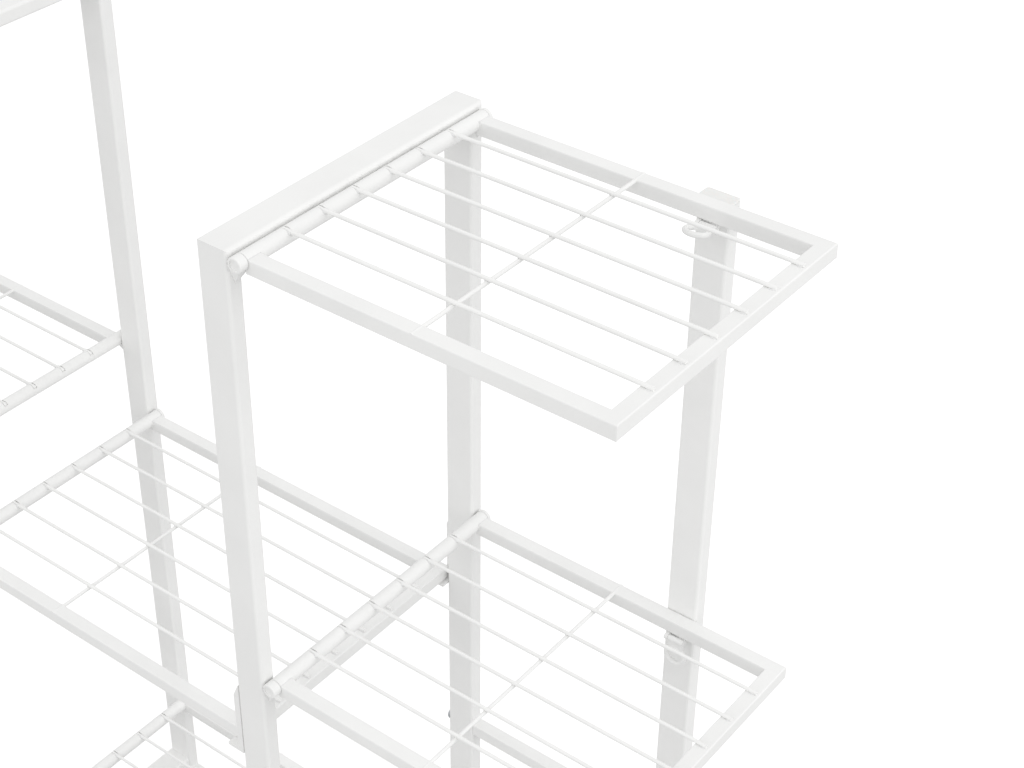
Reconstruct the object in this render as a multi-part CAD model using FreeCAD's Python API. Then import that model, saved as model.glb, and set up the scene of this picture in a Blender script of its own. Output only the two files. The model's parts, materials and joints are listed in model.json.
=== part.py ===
import FreeCAD, Part
import math
import os

os.makedirs("parts", exist_ok=True)

V = FreeCAD.Vector

# ---- driving dimensions, mm -------------------------------------------------
# Frame: origin at the middle of the footprint on the floor, +X along the stand, +Z up.
HEIGHT = 915.0            # floor to the top of the two gates
GATE_DEPTH = 245.0        # outside depth of a gate
GATE_INNER_X = 169.0      # each gate's inner face, from the middle of the stand
POST_WIDE = 25.0          # rectangular post tube along X
POST_THIN = 12.5          # and along Y
POST_ROUND = 2.5          # rounding of a post tube's long edges
WALL = 1.2                # wall of every tube
RAIL_WIDE = 11.0          # shelf rail, seen from above
RAIL_TALL = 11.0          # shelf rail, seen from the side
RAIL_ROUND = 1.0          # rounding of a rail's long edges
SHELF_HALF_DEPTH = 115.5  # shelf's outer faces, from the middle
SHELF_LEVELS = (909.9, 566.1)     # tops of the outer shelves
MIDDLE_LEVELS = (497.4, 153.5)    # tops of the shelves between the gates
OUTER_LENGTH = 267.6      # hinge axis to the outer end of an outer shelf
MIDDLE_LENGTH = 329.7     # the same on a middle shelf
OUTER_CROSS_AT = 129.2    # hinge axis to the cross wire of an outer shelf
MIDDLE_CROSS_AT = 124.0   # the same on a middle shelf
TUBE_R = 5.6              # hinge tube, outside
TUBE_GAP = 0.3            # between the hinge tube and the gate
PIN_R = 3.0               # hinge pin
PIN_LONG = 24.0           # how far a pin reaches into the tube
RUNNING_GAP = 0.05        # radial clearance of the tube on its pins
AXIS_BELOW_TOP = 2.8      # hinge axis under the rails' top faces
LUG_THICK = 2.6           # eye that carries a pin on a post
LUG_FROM_END = 4.1        # gate's outer face to the lug
LUG_DROP = 17.8           # foot of a lug's gusset under the hinge axis
END_GAP = 0.3             # side play of the tube between its lugs
HEAD_DISH_R = 3.9         # dished middle of a pin's head
HEAD_DISH_DEEP = 0.9
WIRE_R = 1.4
WIRE_PITCH = 31.4
WIRES = 6
WIRE_OFFSET = 0.7         # the set of wires sits this far off the middle
WIRE_END_INSET = 2.4      # ends of the long wires, from the end rail's outer face
WIRE_SINK = 0.2           # how far the welds sink one wire into another
NOTCH_GAP = 0.35          # room round a wire in its notch across the hinge tube
WING_POST_X = 367.8       # wing post's inner face
WING_GAP = 0.3            # between a shelf and the wing post
WING_RAIL_LEVELS = (85.5, 335.5)  # middles of the wing's two rails
WING_RAIL = 11.0          # side of the wing rails and stretchers
WING_INSET = 0.5          # wing rails and stretchers, behind the posts' faces
STRETCHER_LEVEL = 45.5
BASE_RAIL_LEVEL = 61.0
FOOT_TALL = 8.0
FOOT_LIP = 1.0
FOOT_ROUND = 0.8
FOOT_PLUG = 14.0
CAP_TALL = 1.6
CAP_ROUND = 0.6
CAP_PLUG = 10.0
PLUG_GAP = 0.1            # between a plug and the bore of its tube
BOLT_R = 3.0
BOLT_CLEARANCE = 0.15
BOLT_HEAD_R = 5.2
BOLT_HEAD_TALL = 3.0
BOLT_HEAD_ROUND = 2.1
BOLT_GRIP = 14.0          # bolt thread inside the rail
REST_THICK = 2.4          # plate of a rest
REST_X = (376.1, 386.1)   # a rest's sides
REST_ARM = 2.8            # thickness of the arm that holds the keeper's pin
REST_TAB = 11.0           # height of the plate on the post
SHELF_PLAY = 0.3          # between a resting rail and what carries it
RIVET_R = 2.6
RIVET_TALL = 1.7
RIVET_DROP = 6.0          # rivet under a rest's plate
KEEPER_Y = 103.0          # pin that a keeper swings on
KNUCKLE_R = 2.3
KEEPER_PIN_R = 1.2
KEEPER_X = (379.2, 391.0)
KEEPER_THICK = 2.4
KEEPER_NECK = 379.8       # left side of a keeper's plate
KEEPER_LIFT = 14.0        # degrees that an unlatched keeper stands up from level
KEEPER_HANG = 90.0        # degrees from level to hanging straight down
RING_X = 385.2            # middle of a keeper's ring
RING_REACH = 14.0         # pin to the middle of the ring
RING_R = 7.3              # middle of the ring's own wire
RING_WIRE_R = 1.9
HOOK_OUT = 5.0            # how far a hook stands off the post
HOOK_TALL = 53.0          # strap above the shelf that it carries
HOOK_TAPER = 11.0         # height over which the strap's top slopes to the post
HOOK_WIDE = 6.2
HOOK_INSET = 0.3          # strap behind the post's outer face
HOOK_FOOT = 2.4           # thickness of the ledge
HOOK_LEDGE = 15.0         # reach of the ledge under the shelf

HALF_DEPTH = GATE_DEPTH / 2
GATE_OUTER_X = GATE_INNER_X + POST_WIDE
AXIS_OFFSET = TUBE_R + TUBE_GAP
LUG_Y = HALF_DEPTH - LUG_FROM_END
TUBE_HALF = LUG_Y - LUG_THICK - END_GAP
HALF_TURN = 180.0
CUT = 1.0                 # how far a cutter reaches past what it cuts


def box(x0, x1, y0, y1, z0, z1):
    return Part.makeBox(x1 - x0, y1 - y0, z1 - z0, V(x0, y0, z0))


def rod(radius, start, end):
    along = end.sub(start)
    return Part.makeCylinder(radius, along.Length, start, along)


def hollow(x0, x1, y0, y1, z0, z1, along, rounding):
    """A rectangular tube with rounded long edges, open at both ends of the axis it runs along."""
    inset = {axis: (0.0 if axis == along else WALL) for axis in "xyz"}
    outer = box(x0, x1, y0, y1, z0, z1)
    length = {"x": x1 - x0, "y": y1 - y0, "z": z1 - z0}[along]
    spans = {"x": "XLength", "y": "YLength", "z": "ZLength"}
    long_edges = [e for e in outer.Edges if abs(getattr(e.BoundBox, spans[along]) - length) < 0.01]
    outer = outer.makeFillet(rounding, long_edges)
    inner = box(x0 + inset["x"], x1 - inset["x"], y0 + inset["y"], y1 - inset["y"],
                z0 + inset["z"], z1 - inset["z"])
    return outer.cut(inner)


def wedge(points, depth):
    """A prism on a closed outline, used to cut mitres."""
    outline = Part.makePolygon(points + points[:1])
    return Part.Face(outline).extrude(depth)


def turned(shape):
    """The same piece on the other side of the stand, half a turn about the middle."""
    copy = shape.copy()
    copy.rotate(V(0, 0, 0), V(0, 0, 1), HALF_TURN)
    return copy


def as_built(shape):
    return shape


def save(node, solids):
    pieces = solids if isinstance(solids, list) else [solids]
    flat = [one for piece in pieces for one in piece.Solids]
    shape = flat[0] if len(flat) == 1 else Part.makeCompound(flat)
    shape.exportStep("parts/%s.step" % node)


# ---- gates: two mitred frames of rectangular tube --------------------------------
BOLT_Y = HALF_DEPTH - WING_INSET - WING_RAIL / 2


def bolt_hole(x_from, x_to, y, z):
    return rod(BOLT_R + BOLT_CLEARANCE, V(x_from, y, z), V(x_to, y, z))


def gate_post(side):
    """A post of the right gate; side is -1 at the front and 1 at the back."""
    outer = side * HALF_DEPTH
    inner = side * (HALF_DEPTH - POST_THIN)
    low, high = min(outer, inner), max(outer, inner)
    post = hollow(GATE_INNER_X, GATE_OUTER_X, low, high, FOOT_TALL, HEIGHT, "z", POST_ROUND)
    mitre = wedge([V(0, inner, HEIGHT - POST_THIN), V(0, outer, HEIGHT), V(0, inner, HEIGHT)],
                  V(2 * GATE_OUTER_X, 0, 0))
    post = post.cut(mitre)
    y_bolt = side * BOLT_Y
    levels = [STRETCHER_LEVEL] + (list(WING_RAIL_LEVELS) if side > 0 else [])
    for level in levels:
        post = post.cut(bolt_hole(GATE_INNER_X - CUT, GATE_OUTER_X + CUT, y_bolt, level))
    return post


def gate_beam():
    beam = hollow(GATE_INNER_X, GATE_OUTER_X, -HALF_DEPTH, HALF_DEPTH,
                  HEIGHT - POST_THIN, HEIGHT, "y", POST_ROUND)
    for side in (-1, 1):
        outer, inner = side * HALF_DEPTH, side * (HALF_DEPTH - POST_THIN)
        low = HEIGHT - POST_THIN
        mitre = wedge([V(0, inner, low), V(0, outer, low), V(0, outer, HEIGHT)],
                      V(2 * GATE_OUTER_X, 0, 0))
        beam = beam.cut(mitre)
    return beam


def gate_base_rail():
    half = HALF_DEPTH - POST_THIN
    return hollow(GATE_INNER_X, GATE_OUTER_X, -half, half,
                  BASE_RAIL_LEVEL - POST_THIN / 2, BASE_RAIL_LEVEL + POST_THIN / 2, "y", POST_ROUND)


# ---- wings: a single post on two rails, bolted to a gate -----------------------
WING_Y = SHELF_HALF_DEPTH + WING_GAP
WING_TOP = HEIGHT - 7.0


def wing_post():
    return hollow(WING_POST_X, WING_POST_X + POST_WIDE, WING_Y, WING_Y + POST_THIN,
                  FOOT_TALL, WING_TOP - CAP_TALL, "z", POST_ROUND)


def wing_rails():
    y1 = HALF_DEPTH - WING_INSET
    half = WING_RAIL / 2
    return [hollow(GATE_OUTER_X, WING_POST_X, y1 - WING_RAIL, y1, level - half, level + half, "x", RAIL_ROUND)
            for level in WING_RAIL_LEVELS]


def stretchers():
    half = WING_RAIL / 2
    y1 = HALF_DEPTH - WING_INSET
    low, high = STRETCHER_LEVEL - half, STRETCHER_LEVEL + half
    back = hollow(-GATE_INNER_X, GATE_INNER_X, y1 - WING_RAIL, y1, low, high, "x", RAIL_ROUND)
    return [back, turned(back)]


def plug(x0, x1, y0, y1, z0, z1):
    """A block that fills the bore of a post between two heights."""
    inset = WALL + PLUG_GAP
    return box(x0 + inset, x1 - inset, y0 + inset, y1 - inset, z0, z1)


def foot(x0, x1, y0, y1):
    shoe = box(x0 - FOOT_LIP, x1 + FOOT_LIP, y0, y1, 0, FOOT_TALL)
    shoe = shoe.makeFillet(FOOT_ROUND, [e for e in shoe.Edges if e.BoundBox.ZLength > CUT])
    return shoe.fuse(plug(x0, x1, y0, y1, FOOT_TALL, FOOT_TALL + FOOT_PLUG)).removeSplitter()


def feet():
    solids = []
    for side in (-1, 1):
        outer, inner = side * HALF_DEPTH, side * (HALF_DEPTH - POST_THIN)
        solids.append(foot(GATE_INNER_X, GATE_OUTER_X, min(outer, inner), max(outer, inner)))
    solids.append(foot(WING_POST_X, WING_POST_X + POST_WIDE, WING_Y, WING_Y + POST_THIN))
    return solids + [turned(one) for one in solids]


def wing_cap():
    x0, x1, y0, y1 = WING_POST_X, WING_POST_X + POST_WIDE, WING_Y, WING_Y + POST_THIN
    lid = box(x0, x1, y0, y1, WING_TOP - CAP_TALL, WING_TOP)
    upright = [e for e in lid.Edges if e.BoundBox.ZLength > CAP_TALL / 2]
    lid = lid.makeFillet(POST_ROUND, upright)
    top_edges = [e for e in lid.Edges if e.BoundBox.ZMin > WING_TOP - 0.01]
    lid = lid.makeFillet(CAP_ROUND, top_edges)
    low = WING_TOP - CAP_TALL
    return lid.fuse(plug(x0, x1, y0, y1, low - CAP_PLUG, low)).removeSplitter()


def bolt(x_face, y, z, outward):
    """A round-headed bolt; outward is the way its head faces along X."""
    shank = rod(BOLT_R, V(x_face, y, z),
                V(x_face - outward * (POST_WIDE + BOLT_GRIP), y, z))
    head = rod(BOLT_HEAD_R, V(x_face, y, z), V(x_face + outward * BOLT_HEAD_TALL, y, z))
    rim = [e for e in head.Edges if abs(e.BoundBox.XMin - x_face) > CUT and e.BoundBox.XLength < 0.01]
    head = head.makeFillet(BOLT_HEAD_ROUND, rim)
    return shank.fuse(head).removeSplitter()


def bolts():
    solids = [bolt(GATE_INNER_X, BOLT_Y, level, -1) for level in WING_RAIL_LEVELS]
    solids += [bolt(GATE_OUTER_X, side * BOLT_Y, STRETCHER_LEVEL, 1) for side in (-1, 1)]
    return solids + [turned(one) for one in solids]


# ---- shelves -------------------------------------------------------------------
# A shelf is built running along +X from its hinge axis, with its rails' top at z = top.
def axis_z(top):
    return top - AXIS_BELOW_TOP


def wire_z(top):
    return top + WIRE_R


def cross_wire_z(top):
    return wire_z(top) - 2 * WIRE_R + WIRE_SINK


def wire_places():
    return [(index - (WIRES - 1) / 2) * WIRE_PITCH + WIRE_OFFSET for index in range(WIRES)]


def shelf_wires(x, top, length):
    """The long wires; they end in notches across the hinge tube, ground flush with its far side."""
    rise = wire_z(top) - axis_z(top)
    start = x - math.sqrt(TUBE_R ** 2 - rise ** 2)
    end = x + length - WIRE_END_INSET
    z = axis_z(top)
    behind = box(x - 2 * TUBE_R, x, -HALF_DEPTH, HALF_DEPTH, z, z + 2 * TUBE_R)
    proud = behind.cut(rod(TUBE_R, V(x, -HALF_DEPTH, z), V(x, HALF_DEPTH, z)))
    wires = []
    for y in wire_places():
        wires.append(rod(WIRE_R, V(start, y, wire_z(top)), V(end, y, wire_z(top))).cut(proud))
    return wires


def hinge_tube(x, top):
    """The tube that turns on the pins, with a notch across it for each long wire."""
    z = axis_z(top)
    start, end = V(x, -TUBE_HALF, z), V(x, TUBE_HALF, z)
    tube = rod(TUBE_R, start, end).cut(rod(PIN_R + RUNNING_GAP, start, end))
    half = WIRE_R + NOTCH_GAP
    for y in wire_places():
        floor = wire_z(top) - WIRE_R
        tube = tube.cut(box(x - TUBE_R, x + TUBE_R, y - half, y + half, floor, z + TUBE_R))
    return tube


def shelf_cross_wire(x, top, cross_at):
    z = cross_wire_z(top)
    return rod(WIRE_R, V(x + cross_at, -SHELF_HALF_DEPTH, z), V(x + cross_at, SHELF_HALF_DEPTH, z))


def shelf_side_rail(x, top, length, side, cross_wire):
    """A side rail: coped on the hinge tube, mitred at its outer end and pierced by the cross wire."""
    outer = side * SHELF_HALF_DEPTH
    inner = side * (SHELF_HALF_DEPTH - RAIL_WIDE)
    low, high = min(outer, inner), max(outer, inner)
    rail = hollow(x, x + length, low, high, top - RAIL_TALL, top, "x", RAIL_ROUND)
    corner = wedge([V(x + length, outer, 0), V(x + length, inner, 0), V(x + length - RAIL_WIDE, inner, 0)],
                   V(0, 0, 2 * HEIGHT))
    z = axis_z(top)
    cope = rod(TUBE_R, V(x, -HALF_DEPTH, z), V(x, HALF_DEPTH, z))
    behind = box(x - CUT, x + TUBE_R / 2, low - CUT, high + CUT, top - RAIL_TALL - CUT, top + CUT)
    return rail.cut(corner).cut(cope).cut(behind).cut(cross_wire)


def shelf_end_rail(x, top, length):
    outer, inner = SHELF_HALF_DEPTH, SHELF_HALF_DEPTH - RAIL_WIDE
    end, back = x + length, x + length - RAIL_WIDE
    rail = hollow(back, end, -outer, outer, top - RAIL_TALL, top, "y", RAIL_ROUND)
    for side in (-1, 1):
        corner = wedge([V(end, side * outer, 0), V(back, side * inner, 0), V(back, side * outer, 0)],
                       V(0, 0, 2 * HEIGHT))
        rail = rail.cut(corner)
    return rail


def shelf_pieces(x, top, length, cross_at):
    cross_wire = shelf_cross_wire(x, top, cross_at)
    return {
        "side_rails": [shelf_side_rail(x, top, length, side, cross_wire) for side in (-1, 1)],
        "end_rail": shelf_end_rail(x, top, length),
        "hinge_tube": hinge_tube(x, top),
        "wires": shelf_wires(x, top, length),
        "cross_wire": cross_wire,
    }


# ---- hinge hardware on the posts --------------------------------------------------
def hinge_pin(x, top, side):
    """A pin through a lug into the end of the hinge tube."""
    z = axis_z(top)
    return rod(PIN_R, V(x, side * (LUG_Y - LUG_THICK - PIN_LONG), z), V(x, side * LUG_Y, z))


def hinge_lug(x, top, side):
    """An eye round the pin, on a gusset that narrows down the post's face."""
    z = axis_z(top)
    outer, inner = side * LUG_Y, side * (LUG_Y - LUG_THICK)
    face = x - AXIS_OFFSET
    eye = rod(TUBE_R, V(x, inner, z), V(x, outer, z))
    y0, y1 = side * HALF_DEPTH, side * (HALF_DEPTH - POST_THIN)
    profile = wedge([V(face, -HALF_DEPTH, z), V(face, -HALF_DEPTH, z - LUG_DROP),
                     V(x + TUBE_R, -HALF_DEPTH, z)], V(0, GATE_DEPTH, 0))
    taper = wedge([V(face, y0, z), V(face, (y0 + y1) / 2, z - LUG_DROP), V(face, y1, z)], V(2 * TUBE_R, 0, 0))
    room = rod(TUBE_R + TUBE_GAP, V(x, side * (LUG_Y - LUG_THICK), z), V(x, 0, z))
    clear = rod(TUBE_R + TUBE_GAP, V(x, side * LUG_Y, z), V(x, side * HALF_DEPTH, z))
    gusset = profile.common(taper).cut(room).cut(clear)
    return eye.fuse(gusset).cut(rod(PIN_R, V(x, inner, z), V(x, outer, z))).removeSplitter()


def pin_head(x, top):
    """The dished head of the front pin, standing on its lug."""
    z = axis_z(top)
    outer = V(x, -HALF_DEPTH, z)
    head = rod(TUBE_R, V(x, -LUG_Y, z), outer)
    rim = [e for e in head.Edges if e.BoundBox.YLength < 0.01 and e.BoundBox.YMin < -HALF_DEPTH + 0.01]
    head = head.makeFillet(HEAD_DISH_DEEP, rim)
    return head.cut(rod(HEAD_DISH_R, outer, V(x, -HALF_DEPTH + HEAD_DISH_DEEP, z)))


# ---- rests, keepers and hooks -------------------------------------------------------
def keeper_z(top):
    return top - RAIL_TALL - SHELF_PLAY - KNUCKLE_R


def rest(top):
    """A bracket on the wing post that a shelf's back rail lies on, with an arm and pin for a keeper."""
    z1 = top - RAIL_TALL - SHELF_PLAY
    z0 = z1 - REST_THICK
    x0, x1 = REST_X
    y0 = KEEPER_Y + KNUCKLE_R + 2 * SHELF_PLAY
    ledge = box(x0, x1, y0, WING_Y, z0, z1)
    tab = box(x0, x1, WING_Y - REST_THICK, WING_Y, z0 - REST_TAB, z0)
    z = keeper_z(top)
    arm = box(x0, x0 + REST_ARM, KEEPER_Y, y0, z - KNUCKLE_R, z1)
    knob = rod(KNUCKLE_R, V(x0, KEEPER_Y, z), V(x0 + REST_ARM, KEEPER_Y, z))
    pin = rod(KEEPER_PIN_R, V(x0, KEEPER_Y, z), V(KEEPER_X[1] + SHELF_PLAY, KEEPER_Y, z))
    return ledge.fuse([tab, arm, knob, pin]).removeSplitter()


def rest_rivet(top):
    """The rivet that holds a rest to the wing post."""
    z = top - RAIL_TALL - SHELF_PLAY - REST_THICK - RIVET_DROP
    x = sum(REST_X) / 2
    face = WING_Y - REST_THICK
    return Part.makeSphere(RIVET_R, V(x, face, z)).common(
        box(x - RIVET_R, x + RIVET_R, face - RIVET_TALL, face, z - RIVET_R, z + RIVET_R))


def keeper(top, hanging):
    """A keeper: a flat neck with a ring of round wire, on a rolled knuckle; it stands out or hangs down."""
    z = keeper_z(top)
    low, high = z - KEEPER_THICK / 2, z + KEEPER_THICK / 2
    ring_y = KEEPER_Y - RING_REACH
    knuckle = rod(KNUCKLE_R, V(KEEPER_X[0], KEEPER_Y, z), V(KEEPER_X[1], KEEPER_Y, z))
    plate = box(KEEPER_NECK, KEEPER_X[1], ring_y + RING_R / 2, KEEPER_Y, low, high)
    ring = Part.makeTorus(RING_R, RING_WIRE_R, V(RING_X, ring_y, z), V(0, 0, 1))
    hole = rod(RING_R - RING_WIRE_R, V(RING_X, ring_y, low), V(RING_X, ring_y, high))
    bore = rod(KEEPER_PIN_R + RUNNING_GAP, V(KEEPER_X[0], KEEPER_Y, z), V(KEEPER_X[1], KEEPER_Y, z))
    piece = knuckle.fuse(plate).cut(hole).fuse(ring).cut(bore).removeSplitter()
    piece.rotate(V(0, KEEPER_Y, z), V(1, 0, 0), KEEPER_HANG if hanging else -KEEPER_LIFT)
    return piece


def hook(top, side):
    """A strap on the right gate's inner face that a middle shelf's free end drops into."""
    outer = side * (HALF_DEPTH - HOOK_INSET)
    inner = side * (HALF_DEPTH - HOOK_INSET - HOOK_WIDE)
    low, high = min(outer, inner), max(outer, inner)
    face = GATE_INNER_X
    foot_top = top - RAIL_TALL - SHELF_PLAY
    foot_low = foot_top - HOOK_FOOT
    strap_top = top + HOOK_TALL
    strap = wedge([V(face, low, strap_top), V(face - HOOK_OUT, low, strap_top - HOOK_TAPER),
                   V(face - HOOK_OUT, low, foot_low), V(face, low, foot_low)], V(0, high - low, 0))
    reach = side * (SHELF_HALF_DEPTH - RAIL_WIDE)
    foot_y0, foot_y1 = min(outer, reach), max(outer, reach)
    ledge = box(face - HOOK_LEDGE, face, foot_y0, foot_y1, foot_low, foot_top)
    return strap.fuse(ledge).removeSplitter()


# ---- write every node ---------------------------------------------------------------
for name, place, front in (("right", as_built, -1), ("left", turned, 1)):
    save("%s_gate_front_post" % name, place(gate_post(front)))
    save("%s_gate_back_post" % name, place(gate_post(-front)))
    save("%s_gate_beam" % name, place(gate_beam()))
    save("%s_gate_base_rail" % name, place(gate_base_rail()))
    save("%s_wing_post" % name, place(wing_post()))
    save("%s_wing_rails" % name, [place(one) for one in wing_rails()])

save("stretchers", stretchers())
save("post_feet", feet())
save("wing_caps", [wing_cap(), turned(wing_cap())])
save("frame_bolts", bolts())

outer_x = GATE_OUTER_X + AXIS_OFFSET
middle_x = -GATE_INNER_X + AXIS_OFFSET
shelves = []
for tier, top in zip(("upper", "lower"), SHELF_LEVELS):
    shelves.append(("right_%s_shelf" % tier, outer_x, top, OUTER_LENGTH, OUTER_CROSS_AT, as_built))
    shelves.append(("left_%s_shelf" % tier, outer_x, top, OUTER_LENGTH, OUTER_CROSS_AT, turned))
for tier, top in zip(("upper", "lower"), MIDDLE_LEVELS):
    shelves.append(("middle_%s_shelf" % tier, middle_x, top, MIDDLE_LENGTH, MIDDLE_CROSS_AT, as_built))

pins, lugs, heads = [], [], []
for name, x, top, length, cross_at, place in shelves:
    for piece, solids in shelf_pieces(x, top, length, cross_at).items():
        pieces = solids if isinstance(solids, list) else [solids]
        save("%s_%s" % (name, piece), [place(one) for one in pieces])
    for side in (-1, 1):
        pins.append(place(hinge_pin(x, top, side)))
        lugs.append(place(hinge_lug(x, top, side)))
    heads.append(place(pin_head(x, top)))
save("hinge_pins", pins)
save("hinge_lugs", lugs)
save("hinge_pin_heads", heads)

rests, rivets = [], []
for tier, top in zip(("upper", "lower"), SHELF_LEVELS):
    hanging = tier == "lower"
    rests += [rest(top), turned(rest(top))]
    rivets += [rest_rivet(top), turned(rest_rivet(top))]
    save("right_%s_keeper" % tier, keeper(top, hanging))
    save("left_%s_keeper" % tier, turned(keeper(top, hanging)))
save("shelf_rests", rests)
save("rest_rivets", rivets)
save("middle_shelf_hooks", [hook(top, side) for top in MIDDLE_LEVELS for side in (-1, 1)])
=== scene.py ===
import json
import math

import bmesh
import bpy
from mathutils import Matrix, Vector


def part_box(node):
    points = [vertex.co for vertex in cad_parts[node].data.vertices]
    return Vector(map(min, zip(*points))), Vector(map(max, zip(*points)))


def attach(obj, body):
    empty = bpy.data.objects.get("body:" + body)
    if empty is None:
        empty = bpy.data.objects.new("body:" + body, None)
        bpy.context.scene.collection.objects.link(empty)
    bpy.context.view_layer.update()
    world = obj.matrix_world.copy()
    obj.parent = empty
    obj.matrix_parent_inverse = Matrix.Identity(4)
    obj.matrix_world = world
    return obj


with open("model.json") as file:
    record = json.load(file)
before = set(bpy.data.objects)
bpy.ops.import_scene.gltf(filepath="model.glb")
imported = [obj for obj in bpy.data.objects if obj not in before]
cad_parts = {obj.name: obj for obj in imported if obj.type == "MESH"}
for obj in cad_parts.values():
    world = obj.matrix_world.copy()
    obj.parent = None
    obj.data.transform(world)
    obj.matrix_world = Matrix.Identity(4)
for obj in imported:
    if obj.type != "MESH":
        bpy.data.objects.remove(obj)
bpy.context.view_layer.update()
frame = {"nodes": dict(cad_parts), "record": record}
NODES = frame["nodes"]
BODIES = frame["record"]["behaviour"]["bodies"]
SLOT_OF = {part["node"]: part["material_slot"] for part in frame["record"]["subparts"]}

# ---- sizes, in metres ----------------------------------------------------------
MM = 0.001
WIRE_R = 1.4 * MM            # shelf wires
WELD_LONG = 2.1 * MM         # half sizes of the bead beside a wire's end on the end rail
WELD_WIDE = 0.85 * MM
WELD_TALL = 0.7 * MM
WELD_BACK = 2.4 * MM         # wire's end to the middle of that bead
NUGGET_LONG = 0.7 * MM       # half sizes of the nuggets where two wires cross
NUGGET_WIDE = 1.05 * MM
NUGGET_TALL = 0.95 * MM
NECK_LONG = 1.7 * MM         # half sizes of the bead beside a wire where it leaves the hinge tube
NECK_WIDE = 0.9 * MM
NECK_TALL = 1.5 * MM
NECK_OUT = 0.68              # where that bead sits on the tube, in tube radii from the hinge axis
NECK_UP = 0.62
SEAM_PITCH = 1.1 * MM        # ripple spacing of a run of weld
SEAM_R = 0.8 * MM            # half width of a run of weld
SEAM_FLAT = 0.55 * MM        # and half its height
SEAM_INSET = 3 * SEAM_R      # a base rail's weld starts this far from the tube's rounded edge
END_BESIDE = 0.8             # how far beside a wire its end beads sit, in wire radii
CROSS_BESIDE = 0.9           # and how far along it the nuggets at a crossing sit
UNEVENNESS = 0.18            # beads differ in size by this share
BEAD_TILT = 0.06             # and in their tilt and turn by these angles, in radians
BEAD_TURN = 0.2
RIPPLE_SIZE = 1.3 * MM       # unevenness of a bead's skin
RIPPLE_TALL = 0.5 * MM


# ---- small tools -------------------------------------------------------------
def linear(hex_colour):
    """An sRGB hex colour as the linear RGBA that shaders take."""
    parts = [int(hex_colour[i:i + 2], 16) / 255 for i in (1, 3, 5)]
    return [c / 12.92 if c <= 0.04045 else ((c + 0.055) / 1.055) ** 2.4 for c in parts] + [1.0]


def add(tree, kind, settings=None, inputs=None):
    """Adds a node; an input takes a value, or a link where it is given a socket."""
    node = tree.nodes.new(kind)
    for name, value in (settings or {}).items():
        setattr(node, name, value)
    for key, value in (inputs or {}).items():
        if isinstance(value, bpy.types.NodeSocket):
            tree.links.new(value, node.inputs[key])
        else:
            node.inputs[key].default_value = value
    return node


# ---- finishes ------------------------------------------------------------------
POLYMER_IOR = 1.5
NOISE_LOW = 0.3              # most of a noise's values lie between these two
NOISE_HIGH = 0.7
CLOUD_SIZE = 45 * MM         # faint clouding of the coat's film, and the part of its noise that is drawn
CLOUD_LOW = 0.35
CLOUD_HIGH = 0.65
NIB_PITCH = 9 * MM           # dust nibs under the coat, their reach in pitches and their height in peels
NIB_REACH = 0.05
NIB_HEIGHT = 0.5
COAT_SWING = 0.06            # roughness goes this far above and below its middle
FLOW_SIZE = 8 * MM           # flow marks, mould grain's depth and roughness swing of the plastic
GRAIN_DEPTH = 0.03 * MM
PLASTIC_SWING = 0.08
SEE_THROUGH = 0.15           # share of the light that enters the plastic, and how far it goes there
SEE_THROUGH_DEPTH = (1.2 * MM, 1.0 * MM, 0.9 * MM)
SPANGLE_SIZE = 1.6 * MM      # crystals of the zinc, and the scratches drawn across them
SCRATCH_SIZE = 1.2 * MM
SCRATCH_DEPTH = 0.015 * MM
SCRATCH_STRETCH = (1.0, 9.0, 1.0)
ZINC_SMOOTH = 0.22
ZINC_ROUGH = 0.42


def new_material(name):
    material = bpy.data.materials.new(name)
    material.use_nodes = True
    material.node_tree.nodes.clear()
    return material, material.node_tree


def object_place(tree):
    return add(tree, "ShaderNodeTexCoord").outputs["Object"]


def mixed(tree, factor, one, other):
    """A colour between two hex colours, or between a socket and a hex colour."""
    node = add(tree, "ShaderNodeMix", {"data_type": "RGBA"}, {0: factor})
    for index, colour in ((6, one), (7, other)):
        if isinstance(colour, bpy.types.NodeSocket):
            tree.links.new(colour, node.inputs[index])
        else:
            node.inputs[index].default_value = linear(colour)
    return node.outputs[2]


def spread(tree, value, low, high, start=0.0, end=1.0):
    return add(tree, "ShaderNodeMapRange", None,
               {"Value": value, "From Min": start, "From Max": end, "To Min": low, "To Max": high}).outputs[0]


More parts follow.
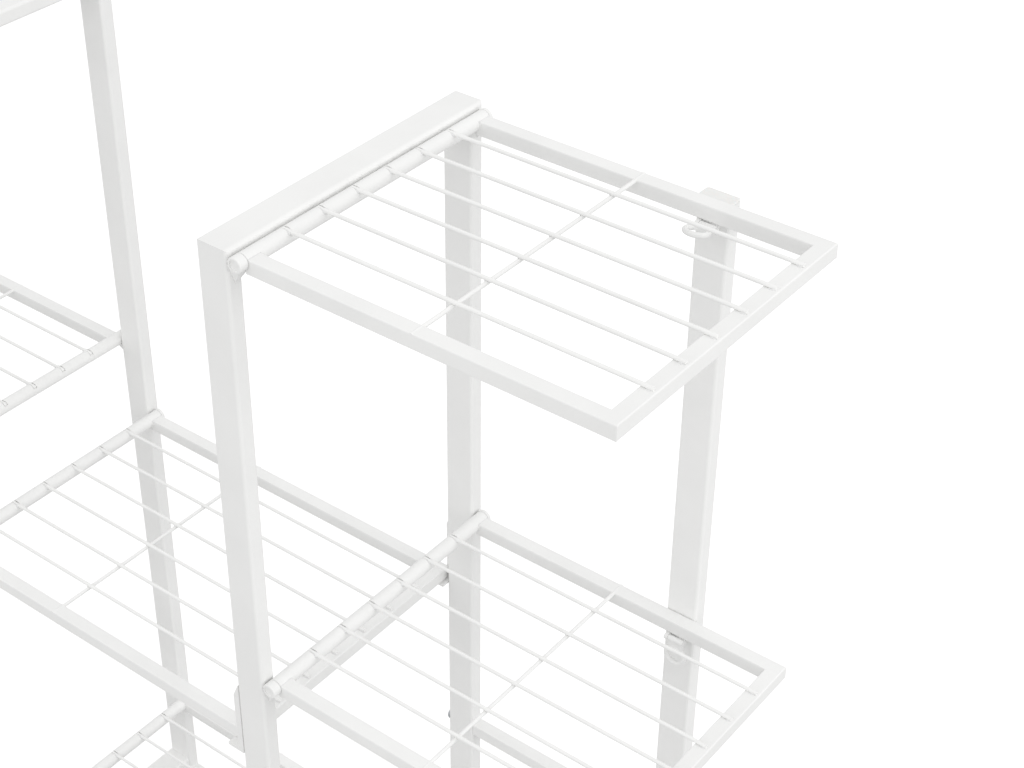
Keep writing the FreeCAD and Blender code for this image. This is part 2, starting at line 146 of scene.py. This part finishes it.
def powder_coat(name, colour, shade, roughness, peel_mm, peel_height_mm):
    """Polyester powder coat baked on steel: a soft satin white, faintly clouded, with a fine orange peel
    and a few dust nibs. The peel is drawn a little coarser than the real 0.8 mm, so that it shows."""
    material, tree = new_material(name)
    place = object_place(tree)
    cloud = add(tree, "ShaderNodeTexNoise", None, {"Vector": place, "Scale": 1 / CLOUD_SIZE, "Detail": 3.0})
    film = spread(tree, cloud.outputs["Fac"], 0.0, 1.0, CLOUD_LOW, CLOUD_HIGH)
    peel = add(tree, "ShaderNodeTexNoise", None,
               {"Vector": place, "Scale": 1 / (peel_mm * MM), "Detail": 2.0, "Roughness": 0.45})
    nib = add(tree, "ShaderNodeTexVoronoi", None, {"Vector": place, "Scale": 1 / NIB_PITCH})
    nib_height = spread(tree, nib.outputs["Distance"], NIB_HEIGHT, 0.0, 0.0, NIB_REACH)
    height = add(tree, "ShaderNodeMath", {"operation": "ADD"}, {0: peel.outputs["Fac"], 1: nib_height})
    bump = add(tree, "ShaderNodeBump", None,
               {"Height": height.outputs[0], "Strength": 1.0, "Distance": peel_height_mm * MM})
    gloss = spread(tree, peel.outputs["Fac"], roughness - COAT_SWING, roughness + COAT_SWING,
                   NOISE_LOW, NOISE_HIGH)
    shader = add(tree, "ShaderNodeBsdfPrincipled", None, {
        "Base Color": mixed(tree, film, colour, shade),
        "Roughness": gloss,
        "Normal": bump.outputs[0]})
    shader.inputs["IOR"].default_value = POLYMER_IOR
    add(tree, "ShaderNodeOutputMaterial", None, {"Surface": shader.outputs[0]})
    return material


def moulded_plastic(name, colour, shade, roughness, grain_mm):
    """Injection-moulded polyethylene: a waxy, finely eroded surface from the mould, a little see-through."""
    material, tree = new_material(name)
    place = object_place(tree)
    grain = add(tree, "ShaderNodeTexNoise", None,
                {"Vector": place, "Scale": 1 / (grain_mm * MM), "Detail": 4.0, "Roughness": 0.6})
    flow = add(tree, "ShaderNodeTexNoise", None, {"Vector": place, "Scale": 1 / FLOW_SIZE, "Detail": 2.0})
    bump = add(tree, "ShaderNodeBump", None,
               {"Height": grain.outputs["Fac"], "Strength": 1.0, "Distance": GRAIN_DEPTH})
    gloss = spread(tree, grain.outputs["Fac"], roughness - PLASTIC_SWING, roughness + PLASTIC_SWING,
                   NOISE_LOW, NOISE_HIGH)
    shader = add(tree, "ShaderNodeBsdfPrincipled", None, {
        "Base Color": mixed(tree, flow.outputs["Fac"], colour, shade),
        "Roughness": gloss,
        "Normal": bump.outputs[0]})
    shader.inputs["IOR"].default_value = POLYMER_IOR
    shader.inputs["Subsurface Weight"].default_value = SEE_THROUGH
    shader.inputs["Subsurface Radius"].default_value = SEE_THROUGH_DEPTH
    shader.inputs["Subsurface Scale"].default_value = 1.0
    add(tree, "ShaderNodeOutputMaterial", None, {"Surface": shader.outputs[0]})
    return material


def zinc_plate(name):
    """Bright zinc on a rolled-thread bolt: a cool grey metal with a spangle and drawn scratches."""
    material, tree = new_material(name)
    place = object_place(tree)
    spangle = add(tree, "ShaderNodeTexVoronoi", None, {"Vector": place, "Scale": 1 / SPANGLE_SIZE})
    stretched = add(tree, "ShaderNodeMapping", None, {"Vector": place, "Scale": SCRATCH_STRETCH})
    drawn = add(tree, "ShaderNodeTexNoise", None,
                {"Vector": stretched.outputs[0], "Scale": 1 / SCRATCH_SIZE, "Detail": 3.0})
    bump = add(tree, "ShaderNodeBump", None,
               {"Height": drawn.outputs["Fac"], "Strength": 1.0, "Distance": SCRATCH_DEPTH})
    shader = add(tree, "ShaderNodeBsdfPrincipled", None, {
        "Base Color": mixed(tree, spangle.outputs["Color"], "#C9CCCF", "#B7BABF"),
        "Roughness": spread(tree, drawn.outputs["Fac"], ZINC_SMOOTH, ZINC_ROUGH, NOISE_LOW, NOISE_HIGH),
        "Normal": bump.outputs[0]})
    shader.inputs["Metallic"].default_value = 1.0
    add(tree, "ShaderNodeOutputMaterial", None, {"Surface": shader.outputs[0]})
    return material


FINISH = {
    "coated_steel": powder_coat("white_powder_coat_on_tube", "#F4F4F3", "#F1F1F0", 0.52, 1.7, 0.030),
    "coated_wire": powder_coat("white_powder_coat_on_wire", "#F5F5F4", "#F2F2F1", 0.46, 1.1, 0.018),
    "cap_plastic": moulded_plastic("white_moulded_polyethylene", "#F0F0EE", "#ECECEA", 0.45, 0.5),
    "foot_plastic": moulded_plastic("grey_moulded_polyethylene", "#B9BAB9", "#B0B1B0", 0.55, 0.6),
    "bolt_steel": zinc_plate("bright_zinc_plate"),
}


def finish_cad_nodes():
    """Each CAD node takes the finish of the slot that the record gives it."""
    for name, node in NODES.items():
        for slot in node.material_slots:
            slot.material = FINISH[SLOT_OF[name]]


# ---- weld beads ----------------------------------------------------------------
FIRST_SEED = 11
SEED_STEP = 7
FRAME_SEED = FIRST_SEED - 1
SHELF_PARTS = {"wires": "wires", "rails": "side_rails", "tube": "hinge_tube", "cross": "cross_wire",
               "end": "end_rail"}


def shelf_sizes(shelf):
    """Where a shelf's wires, rails and hinge are, read from its CAD nodes."""
    return {part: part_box(f"{shelf}_{node}") for part, node in SHELF_PARTS.items()}


def points_tree(name):
    """A Geometry Nodes tree that sets a bead on every point, turned and sized a little at random."""
    tree = bpy.data.node_groups.new(name, "GeometryNodeTree")
    face = tree.interface
    face.new_socket("Points", in_out="INPUT", socket_type="NodeSocketGeometry")
    for label, value in (("Bead Length", WELD_LONG), ("Bead Width", WELD_WIDE), ("Bead Height", WELD_TALL),
                         ("Unevenness", UNEVENNESS)):
        socket = face.new_socket(label, in_out="INPUT", socket_type="NodeSocketFloat")
        socket.default_value = value
    face.new_socket("Seed", in_out="INPUT", socket_type="NodeSocketInt")
    face.new_socket("Coat", in_out="INPUT", socket_type="NodeSocketMaterial")
    face.new_socket("Beads", in_out="OUTPUT", socket_type="NodeSocketGeometry")
    given = add(tree, "NodeGroupInput").outputs
    ball = add(tree, "GeometryNodeMeshIcoSphere", None, {"Radius": 1.0, "Subdivisions": 3})
    shape = add(tree, "ShaderNodeCombineXYZ", None,
                {0: given["Bead Length"], 1: given["Bead Width"], 2: given["Bead Height"]})
    low = add(tree, "ShaderNodeMath", {"operation": "SUBTRACT"}, {0: 1.0, 1: given["Unevenness"]})
    high = add(tree, "ShaderNodeMath", {"operation": "ADD"}, {0: 1.0, 1: given["Unevenness"]})
    share = add(tree, "FunctionNodeRandomValue", {"data_type": "FLOAT"},
                {2: low.outputs[0], 3: high.outputs[0], "Seed": given["Seed"]})
    size = add(tree, "ShaderNodeVectorMath", {"operation": "SCALE"},
               {0: shape.outputs[0], "Scale": share.outputs[1]})
    turn = add(tree, "FunctionNodeRandomValue", {"data_type": "FLOAT_VECTOR"},
               {0: (-BEAD_TILT, -BEAD_TILT, -BEAD_TURN), 1: (BEAD_TILT, BEAD_TILT, BEAD_TURN),
                "Seed": given["Seed"]})
    beads = add(tree, "GeometryNodeInstanceOnPoints", None,
                {"Points": given["Points"], "Instance": ball.outputs[0], "Rotation": turn.outputs[0],
                 "Scale": size.outputs[0]})
    real = add(tree, "GeometryNodeRealizeInstances", None, {0: beads.outputs[0]})
    place = add(tree, "GeometryNodeInputPosition").outputs[0]
    ripple = add(tree, "ShaderNodeTexNoise", None,
                 {"Vector": place, "Scale": 1 / RIPPLE_SIZE, "Detail": 1.0})
    lift = add(tree, "ShaderNodeMath", {"operation": "MULTIPLY_ADD"},
               {0: ripple.outputs["Fac"], 1: RIPPLE_TALL, 2: -RIPPLE_TALL / 2})
    away = add(tree, "ShaderNodeVectorMath", {"operation": "SCALE"},
               {0: add(tree, "GeometryNodeInputNormal").outputs[0], "Scale": lift.outputs[0]})
    rough = add(tree, "GeometryNodeSetPosition", None,
                {"Geometry": real.outputs[0], "Offset": away.outputs[0]})
    smooth = add(tree, "GeometryNodeSetShadeSmooth", None, {0: rough.outputs[0]})
    coated = add(tree, "GeometryNodeSetMaterial", None,
                 {"Geometry": smooth.outputs[0], "Material": given["Coat"]})
    add(tree, "NodeGroupOutput", None, {0: coated.outputs[0]})
    return tree


def beads(name, tree, points, coat, seed, **sizes):
    """Bakes the tree on a list of points and returns the mesh object."""
    mesh = bpy.data.meshes.new(name + "_points")
    mesh.from_pydata([tuple(point) for point in points], [], [])
    holder = bpy.data.objects.new(name + "_points", mesh)
    bpy.context.scene.collection.objects.link(holder)
    modifier = holder.modifiers.new("beads", "NODES")
    modifier.node_group = tree
    values = dict(sizes, Seed=seed, Coat=coat)
    for socket in tree.interface.items_tree:
        key = socket.name.replace(" ", "_")
        if socket.in_out == "INPUT" and key in values:
            modifier[socket.identifier] = values[key]
    bpy.context.view_layer.update()
    shown = holder.evaluated_get(bpy.context.evaluated_depsgraph_get())
    baked = bpy.data.meshes.new_from_object(shown)
    baked.name = name
    bpy.data.objects.remove(holder)
    piece = bpy.data.objects.new(name, baked)
    bpy.context.scene.collection.objects.link(piece)
    return piece


def joined(name, pieces):
    """Several meshes as one piece. Their material isn't carried over to it."""
    whole = bmesh.new()
    for piece in pieces:
        whole.from_mesh(piece.data)
        bpy.data.objects.remove(piece)
    mesh = bpy.data.meshes.new(name)
    whole.to_mesh(mesh)
    whole.free()
    result = bpy.data.objects.new(name, mesh)
    bpy.context.scene.collection.objects.link(result)
    return result


def wire_rows(shelf):
    """The Y of each long wire: the points of its CAD node fall into one cluster for each wire."""
    places = sorted(vertex.co.y for vertex in NODES[shelf + "_wires"].data.vertices)
    clusters = [[places[0]]]
    for place in places[1:]:
        if place - clusters[-1][-1] > 2 * WIRE_R:
            clusters.append([])
        clusters[-1].append(place)
    return [(cluster[0] + cluster[-1]) / 2 for cluster in clusters]


def seam(start, end):
    """The places of the ripples in a run of weld between two points."""
    run = Vector(end) - Vector(start)
    count = max(2, round(run.length / SEAM_PITCH))
    return [Vector(start) + run * index / (count - 1) for index in range(count)]


def weld_shelf(shelf, tree, seed):
    """The welds of one shelf: at both ends of every wire, over the cross wire and at the rails' roots."""
    at = shelf_sizes(shelf)
    rows = wire_rows(shelf)
    outward = 1.0 if at["end"][0].x > at["tube"][0].x else -1.0
    tip = at["wires"][1].x if outward > 0 else at["wires"][0].x
    rail_top = at["rails"][1].z
    cross_x = (at["cross"][0].x + at["cross"][1].x) / 2
    axis_x = (at["tube"][0].x + at["tube"][1].x) / 2
    axis_z = (at["tube"][0].z + at["tube"][1].z) / 2
    tube_r = (at["tube"][1].z - at["tube"][0].z) / 2
    rail_wide = abs(at["end"][1].x - at["end"][0].x)
    root_x = axis_x + outward * math.sqrt(tube_r ** 2 - (rail_top - axis_z) ** 2)
    coat = FINISH["coated_wire"]
    ends = [Vector((tip - outward * WELD_BACK, y + side * WIRE_R * END_BESIDE, rail_top))
            for y in rows for side in (-1, 1)]
    crossings = [Vector((cross_x + along * WIRE_R * CROSS_BESIDE, y, rail_top))
                 for y in rows for along in (-1, 1)]
    necks = [Vector((axis_x + outward * tube_r * NECK_OUT, y + side * WIRE_R, axis_z + tube_r * NECK_UP))
             for y in rows for side in (-1, 1)]
    roots = []
    for side in (-1, 1):
        outer = at["rails"][1].y if side > 0 else at["rails"][0].y
        edge = outer - side * SEAM_R
        roots += seam((root_x, edge, rail_top - SEAM_FLAT / 2),
                      (root_x, outer - side * rail_wide, rail_top - SEAM_FLAT / 2))
    pieces = [
        beads("end", tree, ends, coat, seed,
              Bead_Length=WELD_LONG, Bead_Width=WELD_WIDE, Bead_Height=WELD_TALL),
        beads("cross", tree, crossings, coat, seed + 1,
              Bead_Length=NUGGET_LONG, Bead_Width=NUGGET_WIDE, Bead_Height=NUGGET_TALL),
        beads("neck", tree, necks, coat, seed + 2,
              Bead_Length=NECK_LONG, Bead_Width=NECK_WIDE, Bead_Height=NECK_TALL),
        beads("root", tree, roots, coat, seed + 3,
              Bead_Length=SEAM_R, Bead_Width=SEAM_R, Bead_Height=SEAM_FLAT),
    ]
    piece = joined(shelf + "_welds", pieces)
    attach(piece, shelf)


def weld_frame(tree, seed):
    """The runs of weld that hold each gate's base rail to its posts, along all four of its sides."""
    points = []
    for gate in ("left", "right"):
        low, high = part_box(gate + "_gate_base_rail")
        for y in (low.y, high.y):
            inside = (low.x + SEAM_INSET, high.x - SEAM_INSET)
            for z in (low.z, high.z):
                points += seam((inside[0], y, z), (inside[1], y, z))
    piece = beads("frame_welds", tree, points, FINISH["coated_steel"], seed,
                  Bead_Length=SEAM_R, Bead_Width=SEAM_R, Bead_Height=SEAM_FLAT)
    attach(piece, "frame")


# ---- camera, floor and light -------------------------------------------------
CAMERA_AT = (0.90392, -0.78883, 1.50707)
CAMERA_AZIMUTH = 38.174   # degrees round the stand from straight in front
CAMERA_ELEVATION = 33.838
LENS_MM = 67.868
LENS_SHIFT = (0.0358, -0.05546)
CLIP_NEAR = 0.01
CLIP_FAR = 50.0
FLOOR_HALF = 12.0
PAPER = "#FFFFFF"         # the floor as it is seen, with a little glow, and as it gives light back
PAPER_GLOW = 0.17
PAPER_BOUNCE = "#CDCDCD"
WORLD_LIGHT = 0.91
SOFT_LIGHTS = (           # name, place, what it points at, diameter, watts
    ("soft_top", (0.8, -0.6, 3.4), (0, 0, 0.5), 2.0, 2.6),
    ("soft_right", (3.0, 0.3, 1.5), (0, 0, 0.6), 1.6, 15.5),
    ("soft_front", (0.2, -3.0, 1.4), (0, 0, 0.6), 1.6, 8.5),
)


def make_camera():
    data = bpy.data.cameras.new("camera")
    camera = bpy.data.objects.new("camera", data)
    bpy.context.scene.collection.objects.link(camera)
    camera.location = CAMERA_AT
    camera.rotation_euler = (math.radians(90 - CAMERA_ELEVATION), 0, math.radians(CAMERA_AZIMUTH))
    data.lens = LENS_MM
    data.shift_x, data.shift_y = LENS_SHIFT
    data.clip_start = CLIP_NEAR
    data.clip_end = CLIP_FAR
    bpy.context.scene.camera = camera


def make_floor():
    """White paper; it gives back less light than it shows, so that undersides stay a little darker."""
    mesh = bpy.data.meshes.new("studio_floor")
    half = FLOOR_HALF
    corners = [(-half, -half, 0), (half, -half, 0), (half, half, 0), (-half, half, 0)]
    mesh.from_pydata(corners, [], [(0, 1, 2, 3)])
    floor = bpy.data.objects.new("studio_floor", mesh)
    bpy.context.scene.collection.objects.link(floor)
    material, tree = new_material("studio_paper")
    seen = add(tree, "ShaderNodeBsdfDiffuse", None, {"Color": linear(PAPER)})
    glow = add(tree, "ShaderNodeEmission", None, {"Color": linear(PAPER), "Strength": PAPER_GLOW})
    bright = add(tree, "ShaderNodeAddShader", None, {0: seen.outputs[0], 1: glow.outputs[0]})
    bounced = add(tree, "ShaderNodeBsdfDiffuse", None, {"Color": linear(PAPER_BOUNCE)})
    straight = add(tree, "ShaderNodeLightPath").outputs["Is Camera Ray"]
    both = add(tree, "ShaderNodeMixShader", None, {0: straight, 1: bounced.outputs[0], 2: bright.outputs[0]})
    add(tree, "ShaderNodeOutputMaterial", None, {"Surface": both.outputs[0]})
    mesh.materials.append(material)


def area_light(name, place, target, size, power):
    data = bpy.data.lights.new(name, "AREA")
    data.shape = "DISK"
    data.size = size
    data.energy = power
    lamp = bpy.data.objects.new(name, data)
    bpy.context.scene.collection.objects.link(lamp)
    lamp.location = place
    lamp.rotation_euler = (Vector(target) - Vector(place)).to_track_quat("-Z", "Y").to_euler()


def make_light():
    world = bpy.data.worlds.new("studio")
    bpy.context.scene.world = world
    world.use_nodes = True
    sky = world.node_tree.nodes["Background"]
    sky.inputs["Color"].default_value = linear(PAPER)
    sky.inputs["Strength"].default_value = WORLD_LIGHT
    for name, place, target, size, power in SOFT_LIGHTS:
        area_light(name, place, target, size, power)
    bpy.context.scene.view_settings.view_transform = "Standard"


finish_cad_nodes()
bead_tree = points_tree("weld_beads")
for number, shelf in enumerate(name for name in BODIES if name.endswith("_shelf")):
    weld_shelf(shelf, bead_tree, FIRST_SEED + SEED_STEP * number)
weld_frame(bead_tree, FRAME_SEED)
make_floor()
make_camera()
make_light()
